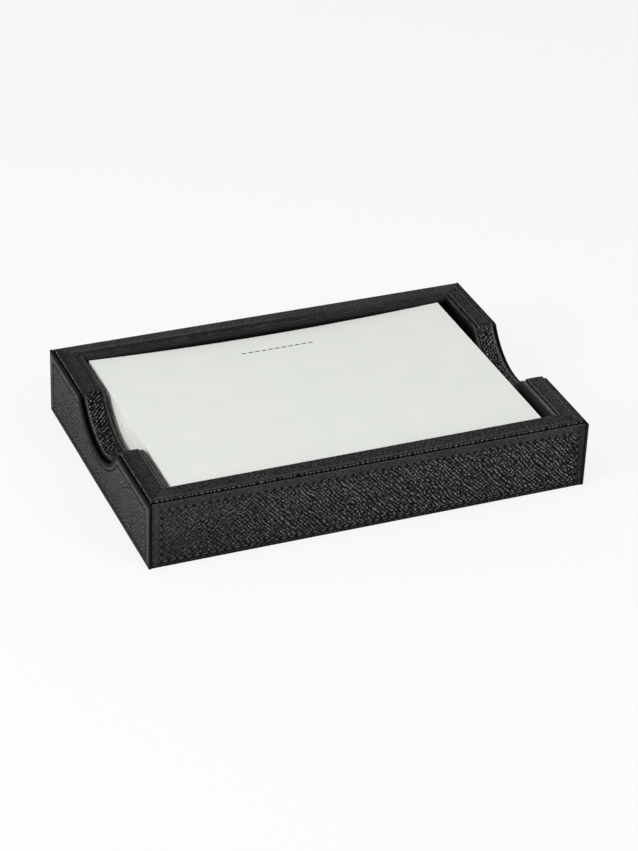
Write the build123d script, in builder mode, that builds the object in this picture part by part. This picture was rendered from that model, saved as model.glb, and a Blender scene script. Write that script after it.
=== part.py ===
from build123d import *
import os
from math import asin, atan2, cos, degrees, radians, sin, sqrt

# Memo tray: a low box with leather-covered walls that holds a stack of loose cards.
# Sizes are in millimetres. The origin is the middle of the underside, +X runs along
# the long front wall, +Y to the back and +Z up.

os.makedirs("parts", exist_ok=True)

# Overall size of the tray
tray_length = 193.0
tray_depth = 130.5
tray_height = 31.0

# Layers of each wall, from the outside in
panel_thickness = 1.5
wrap_thickness = 0.8
core_thickness = 6.6
lining_board_thickness = 1.5
lining_thickness = 0.8

# How far the top of a layer lies below the rim
panel_drop = 1.0
lining_drop = 0.8
front_lining_drop = 2.0

# Rounding of the edges that are touched
panel_edge_radius = 0.6
wrap_edge_radius = 0.4
lining_edge_radius = 0.7

# Layers of the base, from the underside up
base_cover_thickness = 1.0
base_cover_gap = 0.1
base_board_thickness = 3.0
floor_lining_thickness = 1.0

# Finger notch in each short wall: a round dip, its depth taken from the rim
notch_radius = 28.3
notch_depth = 14.0
panel_notch_drop = 1.5
lining_notch_rise = 0.3
panel_shoulder_radius = 2.0
lining_shoulder_radius = 4.0

# Stitching: slanted stitches in a shallow groove, near the border of each panel
stitch_pitch = 3.4
stitch_length = 2.6
stitch_width = 0.6
stitch_slant = 10.0
groove_width = 1.2
groove_depth = 0.3
stitch_margin_foot = 2.4
long_panel_stitch_margin_top = 3.6
long_panel_stitch_margin_start = 3.9
long_panel_stitch_margin_end = 2.8
short_panel_stitch_margin_top = 4.6
short_panel_stitch_margin_ends = 4.1
notch_stitch_margin = 3.0

# Cards: loose in the tray, bowed so that their short edges stand up
card_thickness = 0.4
card_count = 50
card_air = 0.02
loose_card_gap = 0.2
card_bow = 2.1
card_gap_left = 1.6
card_gap_right = 3.8
card_gap_front = 0.75
card_gap_back = 0.25

# Depths into a wall, counted from its outside face
wrap_outside = panel_thickness
core_outside = wrap_outside + wrap_thickness
core_inside = core_outside + core_thickness
wrap_inside = core_inside + wrap_thickness
board_inside = wrap_inside + lining_board_thickness
lining_inside = board_inside + lining_thickness

# Heights above the table
wall_foot = base_cover_thickness
floor_lining_foot = wall_foot + base_board_thickness
floor_top = floor_lining_foot + floor_lining_thickness
panel_top = tray_height - panel_drop
core_top = tray_height - wrap_thickness

# Centre height of the notch circle, in the rim wrap, the panel and the lining
notch_centre = tray_height - notch_depth + notch_radius
panel_notch_centre = notch_centre - panel_notch_drop
lining_notch_centre = notch_centre + lining_notch_rise

# The four walls, in order round the tray, and the two short ones that have a notch
walls = ("front", "right", "back", "left")
notched = ("right", "left")

# Slack used only when edges and corners are picked by where they lie
pick_slack = 0.01


def along(side):
    """Direction of a wall, from left to right as seen from outside."""
    return Vector(1, 0, 0).rotate(Axis.Z, 90 * walls.index(side))


def outward(side):
    """Direction that a wall faces."""
    return Vector(0, -1, 0).rotate(Axis.Z, 90 * walls.index(side))


def wall_length(side):
    """Length of a wall along its outside."""
    return tray_depth if side in notched else tray_length


def wall_reach(side):
    """How far a wall's outside stands from the middle of the tray."""
    return (tray_length if side in notched else tray_depth) / 2


def face_plane(side, depth=0.0):
    """Upright plane of a wall at a depth from its outside: x along it, y up."""
    origin = outward(side) * (wall_reach(side) - depth)
    return Plane(origin, x_dir=along(side), z_dir=outward(side))


def plan_plane(side, height):
    """Level plane of a wall at a height: x along it, y inwards from its outside."""
    origin = outward(side) * wall_reach(side) + Vector(0, 0, height)
    return Plane(origin, x_dir=along(side), z_dir=Vector(0, 0, 1))


def wall_face(side, depth, half, foot, top, centre, radius, shoulder=0.0):
    """Upright face of a wall layer, with the round dip where the wall has a notch."""
    with BuildSketch(face_plane(side, depth)) as face:
        with Locations((0, (foot + top) / 2)):
            Rectangle(2 * half, top - foot)
        if side in notched:
            with Locations((0, centre)):
                Circle(radius, mode=Mode.SUBTRACT)
            shoulders = [
                corner
                for corner in face.vertices()
                if corner.Y > top - pick_slack and abs(corner.X) < half - pick_slack
            ]
            if shoulder > 0:
                fillet(shoulders, radius=shoulder)
    return face.sketch


def mitre_plan(side, outer, inner, foot):
    """Plan of a wall layer between two depths, with its ends cut at 45 degrees."""
    half = wall_length(side) / 2
    with BuildSketch(plan_plane(side, foot)) as plan:
        with BuildLine():
            Polyline(
                (outer - half, outer),
                (half - outer, outer),
                (half - inner, inner),
                (inner - half, inner),
                close=True,
            )
        make_face()
    return plan.sketch


def top_edges(part, side, depth, foot, half):
    """Edges of a wall layer's upright face that run along its top and its notch."""
    plane = face_plane(side, depth)
    chosen = []
    for edge in part.edges():
        spots = [plane.to_local_coords(edge @ share) for share in (0, 0.5, 1)]
        on_face = all(abs(spot.Z) < pick_slack for spot in spots)
        on_foot = spots[1].Y < foot + pick_slack
        on_end = abs(spots[1].X) > half - pick_slack
        if on_face and not on_foot and not on_end:
            chosen.append(edge)
    return chosen


# Base cover: the sheet under the tray, between the feet of the four panels
with BuildPart() as base_cover:
    inset = 2 * (panel_thickness + base_cover_gap)
    with BuildSketch(Plane.XY):
        Rectangle(tray_length - inset, tray_depth - inset)
    extrude(amount=base_cover_thickness)
base_cover.part.label = "base_cover"
export_step(base_cover.part, "parts/base_cover.step")

# Base board: the stiff bottom, between the four walls
with BuildPart() as base_board:
    with BuildSketch(Plane.XY.offset(wall_foot)):
        Rectangle(tray_length - 2 * wrap_inside, tray_depth - 2 * wrap_inside)
    extrude(amount=base_board_thickness)
base_board.part.label = "base_board"
export_step(base_board.part, "parts/base_board.step")

# Floor lining: the sheet that the cards lie on
with BuildPart() as floor_lining:
    with BuildSketch(Plane.XY.offset(floor_lining_foot)):
        Rectangle(tray_length - 2 * wrap_inside, tray_depth - 2 * wrap_inside)
    extrude(amount=floor_lining_thickness)
floor_lining.part.label = "floor_lining"
export_step(floor_lining.part, "parts/floor_lining.step")

# Wall cores: the stiff boards inside the walls, under their leather
for side in walls:
    core_half = wall_length(side) / 2 - core_outside
    core_radius = notch_radius + wrap_thickness
    with BuildPart() as wall_core:
        core_face = wall_face(
            side, core_outside, core_half, wall_foot, core_top, notch_centre, core_radius
        )
        extrude(core_face, amount=core_outside - core_inside)
        core_plan = mitre_plan(side, core_outside, core_inside, wall_foot)
        extrude(core_plan, amount=core_top - wall_foot, mode=Mode.INTERSECT)
    wall_core.part.label = f"{side}_wall_core"
    export_step(wall_core.part, f"parts/{side}_wall_core.step")

    # Rim wrap: the leather turned over the core, down both of its sides and into its notch
    wrap_half = wall_length(side) / 2 - wrap_outside
    with BuildPart() as rim_wrap:
        wrap_face = wall_face(
            side, wrap_outside, wrap_half, wall_foot, tray_height, notch_centre, notch_radius
        )
        extrude(wrap_face, amount=wrap_outside - wrap_inside)
        wrap_plan = mitre_plan(side, wrap_outside, wrap_inside, wall_foot)
        extrude(wrap_plan, amount=tray_height - wall_foot, mode=Mode.INTERSECT)
        for depth in (wrap_outside, wrap_inside):
            level = tray_height - 2 * pick_slack
            rim = top_edges(rim_wrap.part, side, depth, level, wrap_half)
            fillet(rim, radius=wrap_edge_radius)
        add(wall_core.part, mode=Mode.SUBTRACT)
    rim_wrap.part.label = f"{side}_rim_wrap"
    export_step(rim_wrap.part, f"parts/{side}_rim_wrap.step")

# Linings: a thin board against the inside of each wall, with leather turned over its top
for side in walls:
    drop = front_lining_drop if side == "front" else lining_drop
    lining_top = tray_height - drop
    board_top = lining_top - lining_thickness
    board_half = wall_length(side) / 2 - wrap_inside
    board_radius = notch_radius + lining_thickness
    with BuildPart() as lining_board:
        board_face = wall_face(
            side,
            wrap_inside,
            board_half,
            floor_top,
            board_top,
            lining_notch_centre,
            board_radius,
            lining_shoulder_radius - lining_thickness,
        )
        extrude(board_face, amount=wrap_inside - board_inside)
        board_plan = mitre_plan(side, wrap_inside, board_inside, floor_top)
        extrude(board_plan, amount=board_top - floor_top, mode=Mode.INTERSECT)
    lining_board.part.label = f"{side}_lining_board"
    export_step(lining_board.part, f"parts/{side}_lining_board.step")

    with BuildPart() as lining:
        lining_face = wall_face(
            side,
            wrap_inside,
            board_half,
            floor_top,
            lining_top,
            lining_notch_centre,
            notch_radius,
            lining_shoulder_radius,
        )
        extrude(lining_face, amount=wrap_inside - lining_inside)
        lining_plan = mitre_plan(side, wrap_inside, lining_inside, floor_top)
        extrude(lining_plan, amount=lining_top - floor_top, mode=Mode.INTERSECT)
        for depth, radius in (
            (wrap_inside, wrap_edge_radius),
            (lining_inside, lining_edge_radius),
        ):
            rim = top_edges(lining.part, side, depth, floor_top, board_half)
            fillet(rim, radius=radius)
        add(lining_board.part, mode=Mode.SUBTRACT)
    lining.part.label = f"{side}_lining"
    export_step(lining.part, f"parts/{side}_lining.step")


def stitch_frame(side):
    """Corners of a panel's stitch line: x at its start and end, y at its foot and top."""
    length = wall_length(side)
    if side in notched:
        start = short_panel_stitch_margin_ends - length / 2
        end = length / 2 - short_panel_stitch_margin_ends
        top = panel_top - short_panel_stitch_margin_top
    else:
        half = length / 2 - panel_thickness
        start = long_panel_stitch_margin_start - half
        end = half - long_panel_stitch_margin_end
        top = panel_top - long_panel_stitch_margin_top
    return start, end, stitch_margin_foot, top


def stitch_band(side, spread):
    """Face inside a panel's stitch line, grown on all sides by a spread."""
    start, end, foot, top = stitch_frame(side)
    with BuildSketch(face_plane(side)) as band:
        with Locations(((start + end) / 2, (foot + top) / 2)):
            Rectangle(end - start + 2 * spread, top - foot + 2 * spread)
        if side in notched:
            with Locations((0, panel_notch_centre)):
                Circle(notch_radius + notch_stitch_margin - spread, mode=Mode.SUBTRACT)
    return band.sketch


def row_places(first, last):
    """Middles of the stitches on a straight run, as locations turned along it."""
    run = Vector(*last) - Vector(*first)
    count = max(1, round(run.length / stitch_pitch))
    turn = degrees(atan2(run.Y, run.X)) + stitch_slant
    spots = [Vector(*first) + run * ((number + 0.5) / count) for number in range(count)]
    return [Location((spot.X, spot.Y), turn) for spot in spots]


def arc_places(centre, radius, half_angle):
    """Middles of the stitches on an arc that hangs below its centre."""
    count = max(1, round(radius * radians(2 * half_angle) / stitch_pitch))
    places = []
    for number in range(count):
        angle = half_angle * (2 * (number + 0.5) / count - 1)
        x = radius * sin(radians(angle))
        y = centre - radius * cos(radians(angle))
        places.append(Location((x, y), angle + stitch_slant))
    return places


def stitch_places(side):
    """All the stitches of a panel, run by run, each clear of the corners."""
    start, end, foot, top = stitch_frame(side)
    places = row_places((start, foot), (end, foot))
    places += row_places((start, top), (start, foot))
    places += row_places((end, foot), (end, top))
    if side in notched:
        radius = notch_radius + notch_stitch_margin
        reach = sqrt(radius**2 - (panel_notch_centre - top) ** 2)
        places += row_places((start, top), (-reach, top))
        places += row_places((reach, top), (end, top))
        places += arc_places(panel_notch_centre, radius, degrees(asin(reach / radius)))
    else:
        places += row_places((start, top), (end, top))
    return places


# Outer panels, each with a groove for its stitching, and the stitches in the groove
for side in walls:
    ends = 0 if side in notched else panel_thickness
    panel_half = wall_length(side) / 2 - ends
    with BuildPart() as panel:
        panel_face = wall_face(
            side,
            0,
            panel_half,
            0,
            panel_top,
            panel_notch_centre,
            notch_radius,
            panel_shoulder_radius,
        )
        extrude(panel_face, amount=-panel_thickness)
        fillet(top_edges(panel.part, side, 0, 0, panel_half), radius=panel_edge_radius)
        groove = stitch_band(side, groove_width / 2) - stitch_band(side, -groove_width / 2)
        extrude(groove, amount=-groove_depth, mode=Mode.SUBTRACT)
    panel.part.label = f"{side}_panel"
    export_step(panel.part, f"parts/{side}_panel.step")

    with BuildPart() as stitching:
        with BuildSketch(face_plane(side, groove_depth)):
            with Locations(*stitch_places(side)):
                SlotOverall(stitch_length, stitch_width)
        extrude(amount=groove_depth)
    stitching.part.label = f"{side}_stitching"
    export_step(stitching.part, f"parts/{side}_stitching.step")

# Where the cards lie: their edges, a named gap inside the linings
card_left = lining_inside - tray_length / 2 + card_gap_left
card_right = tray_length / 2 - lining_inside - card_gap_right
card_front = lining_inside - tray_depth / 2 + card_gap_front
card_back = tray_depth / 2 - lining_inside - card_gap_back
card_middle = (card_left + card_right) / 2
card_step = card_thickness + card_air
stack_top = floor_top + card_count * card_step - card_air


def card_section(foot, bow):
    """End view of a bowed card, lowest in the middle, as a face on the back edge's plane."""
    with BuildSketch(Plane.XZ.offset(-card_back)) as section:
        with BuildLine():
            ThreePointArc((card_left, foot + bow), (card_middle, foot), (card_right, foot + bow))
            ThreePointArc(
                (card_left, foot + bow + card_thickness),
                (card_middle, foot + card_thickness),
                (card_right, foot + bow + card_thickness),
            )
            for end in (card_left, card_right):
                Line((end, foot + bow), (end, foot + bow + card_thickness))
        make_face()
    return section.sketch


# Stack of loose cards: the lowest lies flat, and the bow grows towards the top
with BuildPart() as memo_cards:
    with BuildSketch(Plane.XZ.offset(-card_back)):
        with Locations((card_middle, floor_top + card_thickness / 2)):
            Rectangle(card_right - card_left, card_thickness)
    extrude(amount=card_back - card_front)
    for number in range(1, card_count):
        bow = card_bow * number / (card_count - 1)
        extrude(card_section(floor_top + number * card_step, bow), amount=card_back - card_front)
memo_cards.part.label = "memo_cards"
export_step(memo_cards.part, "parts/memo_cards.step")

# Top card: the loose one that is taken next
with BuildPart() as top_card:
    extrude(card_section(stack_top + loose_card_gap, card_bow), amount=card_back - card_front)
top_card.part.label = "top_card"
export_step(top_card.part, "parts/top_card.step")
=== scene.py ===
import bpy
import numpy as np
from mathutils import Matrix, Vector


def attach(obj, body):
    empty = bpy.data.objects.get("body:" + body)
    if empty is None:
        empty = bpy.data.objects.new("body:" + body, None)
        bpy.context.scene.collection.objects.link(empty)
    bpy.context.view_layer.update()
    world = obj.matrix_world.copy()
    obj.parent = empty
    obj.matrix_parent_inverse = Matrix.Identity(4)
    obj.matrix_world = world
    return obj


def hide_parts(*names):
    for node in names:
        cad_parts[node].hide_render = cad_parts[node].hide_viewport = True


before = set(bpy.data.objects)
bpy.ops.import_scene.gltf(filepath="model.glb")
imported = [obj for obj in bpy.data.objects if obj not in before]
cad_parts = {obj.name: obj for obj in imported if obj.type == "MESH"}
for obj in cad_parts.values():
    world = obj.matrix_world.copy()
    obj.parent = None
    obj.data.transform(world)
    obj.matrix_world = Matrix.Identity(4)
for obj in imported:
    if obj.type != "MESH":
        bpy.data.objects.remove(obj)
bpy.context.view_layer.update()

# Memo tray: a box with leather-covered walls, two finger notches and a stack of cards.
# Sizes below are millimetres, as in the part; meshes are turned to metres as they are made.

MM = 0.001

# Sizes of the part
TRAY_LENGTH, TRAY_DEPTH, TRAY_HEIGHT = 193.0, 130.5, 31.0
PANEL_THICKNESS = 1.5
WRAP_THICKNESS = 0.8
CORE_THICKNESS = 6.6
LINING_BOARD_THICKNESS = 1.5
LINING_THICKNESS = 0.8
PANEL_DROP = 1.0
LINING_DROP, FRONT_LINING_DROP = 0.8, 2.0
BASE_COVER_THICKNESS, BASE_BOARD_THICKNESS, FLOOR_LINING_THICKNESS = 1.0, 3.0, 1.0
BASE_COVER_GAP = 0.1
NOTCH_RADIUS, NOTCH_DEPTH = 28.3, 14.0
PANEL_NOTCH_DROP, LINING_NOTCH_RISE = 1.5, 0.3
PANEL_SHOULDER_RADIUS, LINING_SHOULDER_RADIUS = 2.0, 4.0
STITCH_PITCH, STITCH_LENGTH, STITCH_SLANT = 3.4, 2.6, 10.0
CARD_THICKNESS, CARD_COUNT, CARD_AIR, LOOSE_CARD_GAP, CARD_BOW = 0.4, 50, 0.02, 0.2, 2.1
CARD_GAP_LEFT, CARD_GAP_RIGHT, CARD_GAP_FRONT, CARD_GAP_BACK = 1.6, 3.8, 0.75, 0.25

# Depths into a wall and heights, worked out from the sizes
WRAP_OUTSIDE = PANEL_THICKNESS
WRAP_INSIDE = WRAP_OUTSIDE + 2 * WRAP_THICKNESS + CORE_THICKNESS
BOARD_INSIDE = WRAP_INSIDE + LINING_BOARD_THICKNESS
LINING_INSIDE = BOARD_INSIDE + LINING_THICKNESS
WALL_FOOT = BASE_COVER_THICKNESS
FLOOR_TOP = WALL_FOOT + BASE_BOARD_THICKNESS + FLOOR_LINING_THICKNESS
PANEL_TOP = TRAY_HEIGHT - PANEL_DROP
NOTCH_CENTRE = TRAY_HEIGHT - NOTCH_DEPTH + NOTCH_RADIUS
PANEL_NOTCH_CENTRE = NOTCH_CENTRE - PANEL_NOTCH_DROP
LINING_NOTCH_CENTRE = NOTCH_CENTRE + LINING_NOTCH_RISE

SIDES = ("front", "right", "back", "left")
NOTCHED = ("right", "left")
ALONG = {"front": (1, 0), "right": (0, 1), "back": (-1, 0), "left": (0, -1)}
OUTWARD = {"front": (0, -1), "right": (1, 0), "back": (0, 1), "left": (-1, 0)}


def wall_length(side):
    """Length of a wall along its outside."""
    return TRAY_DEPTH if side in NOTCHED else TRAY_LENGTH


def panel_half(side):
    """Half the length of a panel: the long ones end against the short ones."""
    return wall_length(side) / 2 - (0 if side in NOTCHED else PANEL_THICKNESS)


def wall_reach(side):
    """How far a wall's outside stands from the middle of the tray."""
    return (TRAY_LENGTH if side in NOTCHED else TRAY_DEPTH) / 2


def wall_points(side, s, d, z):
    """Points from a wall's own measures: s along it, d inwards from its outside, z up."""
    along, outward = ALONG[side], OUTWARD[side]
    away = wall_reach(side) - d
    x = along[0] * s + outward[0] * away
    y = along[1] * s + outward[1] * away
    return np.stack([x, y, z + 0 * x], axis=-1)


class Noise:
    """Smooth random field on a plane, the same each run, about -1 to 1."""

    size = 256

    def __init__(self, seed):
        turns = np.random.RandomState(seed).rand(self.size, self.size) * 2 * np.pi
        self.gx, self.gy = np.cos(turns), np.sin(turns)

    def __call__(self, x, y):
        x, y = np.broadcast_arrays(np.asarray(x, float), np.asarray(y, float))
        i, j = np.floor(x).astype(int), np.floor(y).astype(int)
        fx, fy = x - i, y - j
        u = fx**3 * (fx * (fx * 6 - 15) + 10)
        v = fy**3 * (fy * (fy * 6 - 15) + 10)

        def corner(a, b):
            p, q = (i + a) % self.size, (j + b) % self.size
            return self.gx[p, q] * (fx - a) + self.gy[p, q] * (fy - b)

        low = corner(0, 0) * (1 - u) + corner(1, 0) * u
        high = corner(0, 1) * (1 - u) + corner(1, 1) * u
        return 1.5 * (low * (1 - v) + high * v)

    def layers(self, x, y, count=3):
        """Sum of finer and finer copies of the field."""
        total = 0
        for n in range(count):
            total = total + self(x * 2**n + 17.3 * n, y * 2**n - 9.1 * n) * 0.5**n
        return total


def smooth(low, high, x):
    """0 below low, 1 above high, and a smooth rise between them."""
    t = np.clip((x - low) / (high - low), 0, 1)
    return t * t * (3 - 2 * t)


def dip(x, width):
    """A round hollow of depth 1 at 0, gone at plus or minus its width."""
    return np.clip(1 - (x / width) ** 2, 0, 1) ** 2


def ridges(x, y, angle, pitch, noise, wander, shift):
    """Waves from -1 to 1 along wavy lines at an angle in degrees, strong in some places only."""
    a = np.radians(angle)
    u, v = x * np.cos(a) + y * np.sin(a), y * np.cos(a) - x * np.sin(a)
    bend = 0.6 * noise(u / 11 + shift, v / 7) + 0.3 * noise(u / 3.4 + shift + 40, v / 2.4)
    bend = bend + 0.16 * noise(u / 1.5 + shift + 11, v / 1.2)
    lines = np.sin(2 * np.pi * (v / pitch + wander * bend))
    strength = smooth(-0.5, 0.5, noise(u / (1.2 * pitch) + shift + 90, v / (0.8 * pitch)))
    return lines * (0.25 + 0.75 * strength)


def crossgrain(x, y, angle, cross, share, pitch, noise, wander=1.0, grit=0.95):
    """Height, 0 to 1, of leather pressed with lines one way, weaker lines across and grit."""
    a = np.radians(angle)
    u, v = x * np.cos(a) + y * np.sin(a), y * np.cos(a) - x * np.sin(a)
    beads = noise(u / 0.62, v / 0.5) + 0.35 * noise(x / 1.1 + 31, y / 1.1)
    lines = (1 - 0.7 * share) * ridges(x, y, angle, pitch, noise, wander, 0)
    lines = lines + 0.8 * share * ridges(x, y, cross, pitch, noise, wander, 57)
    return np.clip(0.5 + 0.42 * (lines + grit * beads), 0, 1)


# Materials: every one is made of nodes, and takes its lengths in millimetres


def add_node(nodes, kind, inputs=None):
    """A new node with the given numbers or colours on its inputs."""
    node = nodes.new(kind)
    for name, value in (inputs or {}).items():
        node.inputs[name].default_value = value
    return node


class Nodes:
    """A node material, and short ways to add nodes to it."""

    def __init__(self, name):
        self.material = bpy.data.materials.new(name)
        self.material.use_nodes = True
        self.nodes, self.links = self.material.node_tree.nodes, self.material.node_tree.links

    def join(self, source, socket):
        """Links a node's output to a socket, or sets the socket to a number or a colour."""
        if isinstance(source, (int, float)):
            socket.default_value = source
        elif isinstance(source, tuple):
            socket.default_value = (*source, 1)
        else:
            self.links.new(source, socket)

    def split(self, vector):
        """The X, Y and Z of a vector."""
        node = add_node(self.nodes, "ShaderNodeSeparateXYZ")
        self.join(vector, node.inputs[0])
        return node.outputs

    def place(self):
        """Object position in metres."""
        return add_node(self.nodes, "ShaderNodeTexCoord").outputs["Object"]

    def stretched(self, scale=(1, 1, 1)):
        """Object position in millimetres, stretched by a scale along each axis."""
        node = add_node(self.nodes, "ShaderNodeMapping", {"Scale": [part / MM for part in scale]})
        self.join(self.place(), node.inputs["Vector"])
        return node.outputs["Vector"]

    def mark(self, name, output="Fac"):
        """What the mesh stores under a name: one number, or three if the output is Vector."""
        node = add_node(self.nodes, "ShaderNodeAttribute")
        node.attribute_name = name
        return node.outputs[output]

    def noise(self, vector, scale, detail=2.0, rough=0.5):
        """Clouds of a scale in turns per unit of the vector."""
        inputs = {"Scale": scale, "Detail": detail, "Roughness": rough}
        node = add_node(self.nodes, "ShaderNodeTexNoise", inputs)
        self.join(vector, node.inputs["Vector"])
        return node.outputs["Fac"]

    def cells(self, vector, scale):
        """Distance to the nearest of many scattered points."""
        node = add_node(self.nodes, "ShaderNodeTexVoronoi", {"Scale": scale})
        self.join(vector, node.inputs["Vector"])
        return node.outputs["Distance"]

    def math(self, kind, a, b=0.5):
        """One step of arithmetic; b is idle where the kind takes one number."""
        node = add_node(self.nodes, "ShaderNodeMath")
        node.operation = kind
        self.join(a, node.inputs[0])
        self.join(b, node.inputs[1])
        return node.outputs[0]

    def within(self, value, reach):
        """1 where a value lies within plus or minus a reach of 0, and 0 elsewhere."""
        return self.math("LESS_THAN", self.math("ABSOLUTE", value), reach)

    def spread(self, value, low, high, to_low=0.0, to_high=1.0):
        """A value mapped from low and high to two new ends, and held between them."""
        ends = {"From Min": low, "From Max": high, "To Min": to_low, "To Max": to_high}
        node = add_node(self.nodes, "ShaderNodeMapRange", ends)
        self.join(value, node.inputs["Value"])
        return node.outputs["Result"]

    def mix(self, share, a, b):
        """Colour a where the share is 0, colour b where it is 1."""
        node = add_node(self.nodes, "ShaderNodeMix")
        node.data_type = "RGBA"
        for source, name in ((share, "Factor"), (a, "A"), (b, "B")):
            self.join(source, node.inputs[name])
        return node.outputs["Result"]

    def bump(self, height, distance, strength, under=None):
        """Relief too fine for the mesh, a distance high in millimetres, over another one if given."""
        node = add_node(self.nodes, "ShaderNodeBump", {"Distance": distance * MM, "Strength": strength})
        self.join(height, node.inputs["Height"])
        if under is not None:
            self.join(under, node.inputs["Normal"])
        return node.outputs["Normal"]

    def finish(self, colour, roughness, specular, normal=None):
        """Joins what was made to the shader; single numbers go on its own sockets."""
        shader = self.nodes["Principled BSDF"]
        self.join(colour, shader.inputs["Base Color"])
        self.join(roughness, shader.inputs["Roughness"])
        self.join(specular, shader.inputs["Specular IOR Level"])
        if normal is not None:
            self.join(normal, shader.inputs["Normal"])
        return self.material


def grey(level, warm=0.0):
    """A colour of one level, slightly warm if asked."""
    return (level, level * (1 - 0.2 * warm), level * (1 - warm))


def leather(name, pit_shade, dark, light, rubbed_and_highlit, roughness, pebble, specular):
    """Black leather: fine pebbles of one size, with painted shade in its pits and hollows, and paler where
    rubbing wears it or a highlight is painted.
    """
    n = Nodes(name)
    place = n.mark("leather_place", "Vector")
    pebbles = n.cells(place, 1 / pebble)
    creases = n.noise(place, 0.55 / pebble, 4.0, 0.6)
    clouds = n.noise(place, 0.08, 3.0, 0.55)
    worn_and_highlit, shade_and_tone = n.mark("wear_and_highlight"), n.mark("shade_and_tone")
    colour = n.mix(n.spread(clouds, 0.35, 0.68), dark, light)
    colour = n.mix(worn_and_highlit, n.mix(shade_and_tone, pit_shade, colour), rubbed_and_highlit)
    rough = n.spread(shade_and_tone, 0.0, 1.0, roughness + 0.25, roughness)
    rough = n.math("ADD", rough, n.math("MULTIPLY", worn_and_highlit, -0.1))
    normal = n.bump(pebbles, 0.035, 0.6, n.bump(creases, 0.05, 0.7))
    return n.finish(colour, rough, specular, normal)


def thread_material():
    """Black waxed thread: a slight shine, and a colour and dullness that follow a painted shade mark, nearly
    black at 0.
    """
    n = Nodes("thread")
    place, shade_tone = n.stretched(), n.mark("shade_tone")
    fibres, patches = n.noise(place, 9.0), n.noise(place, 0.4)
    colour = n.mix(n.spread(patches, 0.35, 0.65), (0.062, 0.062, 0.063), grey(0.11))
    # Painted shade: a low mark darkens the thread to near black, on the side panels where the lamps light it
    # more
    colour = n.mix(shade_tone, grey(0.005), colour)
    rough = n.math("ADD", n.spread(fibres, 0.3, 0.7, -0.07, 0.08), n.spread(shade_tone, 0.0, 1.0, 0.9, 0.4))
    return n.finish(colour, rough, 0.08, n.bump(fibres, 0.03, 0.6))


def board_material(name, dark, light):
    """Pressed board: short fibres, flecks and a dull surface."""
    n = Nodes(name)
    fibres = n.noise(n.stretched((0.6, 2.2, 2.2)), 1.6, 4.0, 0.65)
    flecks = n.noise(n.stretched(), 0.35, 3.0)
    colour = n.mix(n.spread(n.math("MULTIPLY", fibres, flecks), 0.12, 0.4), dark, light)
    return n.finish(colour, n.spread(flecks, 0.3, 0.7, 0.78, 0.9), 0.2, n.bump(fibres, 0.08, 0.7))


# Row of plain dashes on the top card, in the place of its printed line
PRINT_X, PRINT_Y = -1.05, 40.8
PRINT_PITCH, PRINT_DASH, PRINT_WIDTH, PRINT_LENGTH = 3.1, 2.1, 0.85, 33.6


def card_material(name, printed):
    """Thick uncoated card, very pale, with a soft tooth and, if printed, a row of dashes."""
    n = Nodes(name)
    place = n.stretched()
    tooth = n.noise(place, 2.4, 5.0, 0.65)
    clouds = n.noise(place, 0.05, 3.0)
    colour = n.mix(n.spread(clouds, 0.3, 0.7), (0.755, 0.78, 0.74), (0.775, 0.797, 0.762))
    if printed:
        where = n.split(n.place())
        x = n.math("SUBTRACT", where["X"], PRINT_X * MM)
        y = n.math("SUBTRACT", where["Y"], PRINT_Y * MM)
        share = n.math("FRACT", n.math("ADD", n.math("DIVIDE", x, PRINT_PITCH * MM), 0.5))
        dash = n.within(n.math("SUBTRACT", share, 0.5), PRINT_DASH / PRINT_PITCH / 2)
        row = n.within(x, PRINT_LENGTH * MM / 2)
        ink = n.math("MULTIPLY", n.math("MULTIPLY", dash, n.within(y, PRINT_WIDTH * MM / 2)), row)
        ink = n.math("MULTIPLY", ink, n.spread(tooth, 0.3, 0.7, 0.75, 0.95))
        colour = n.mix(ink, colour, (0.05, 0.05, 0.052))
    # Painted light: the cut edges are much paler than the faces, so the stack's side looks as bright as its
    # top though the walls shade it
    facing = n.split(add_node(n.nodes, "ShaderNodeNewGeometry").outputs["Normal"])
    lit_cut_edge = n.within(facing["Z"], 0.3)
    colour = n.mix(lit_cut_edge, colour, (0.97, 0.965, 0.91))
    return n.finish(colour, n.spread(tooth, 0.3, 0.7, 0.72, 0.86), 0.25, n.bump(tooth, 0.02, 0.5))


panel_leather = leather(
    "panel_leather", pit_shade=grey(0.0006), dark=grey(0.026), light=grey(0.042), rubbed_and_highlit=grey(0.3),
    roughness=0.48, pebble=0.42, specular=0.07)
rim_leather = leather(
    "rim_leather", pit_shade=grey(0.0006), dark=grey(0.017, 0.03), light=grey(0.026, 0.03),
    rubbed_and_highlit=grey(0.2, 0.03), roughness=0.45, pebble=0.5, specular=0.07)
# Darker than the rim leather: partly the lining's own colour, partly painted shade for its faces inside the
# tray
lining_leather = leather(
    "lining_leather", pit_shade=grey(0.0005), dark=grey(0.006, 0.04), light=grey(0.01, 0.04),
    rubbed_and_highlit=grey(0.15, 0.04), roughness=0.45, pebble=0.45, specular=0.05)
base_leather = leather(
    "base_leather", pit_shade=grey(0.002), dark=grey(0.012), light=grey(0.018), rubbed_and_highlit=grey(0.06),
    roughness=0.6, pebble=0.5, specular=0.2)
thread = thread_material()
board = board_material("board", (0.16, 0.12, 0.08), (0.34, 0.27, 0.19))
lining_board = board_material("lining_board", (0.12, 0.12, 0.115), (0.3, 0.29, 0.275))
card = card_material("card", False)
printed_card = card_material("printed_card", True)


# Meshes


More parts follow.
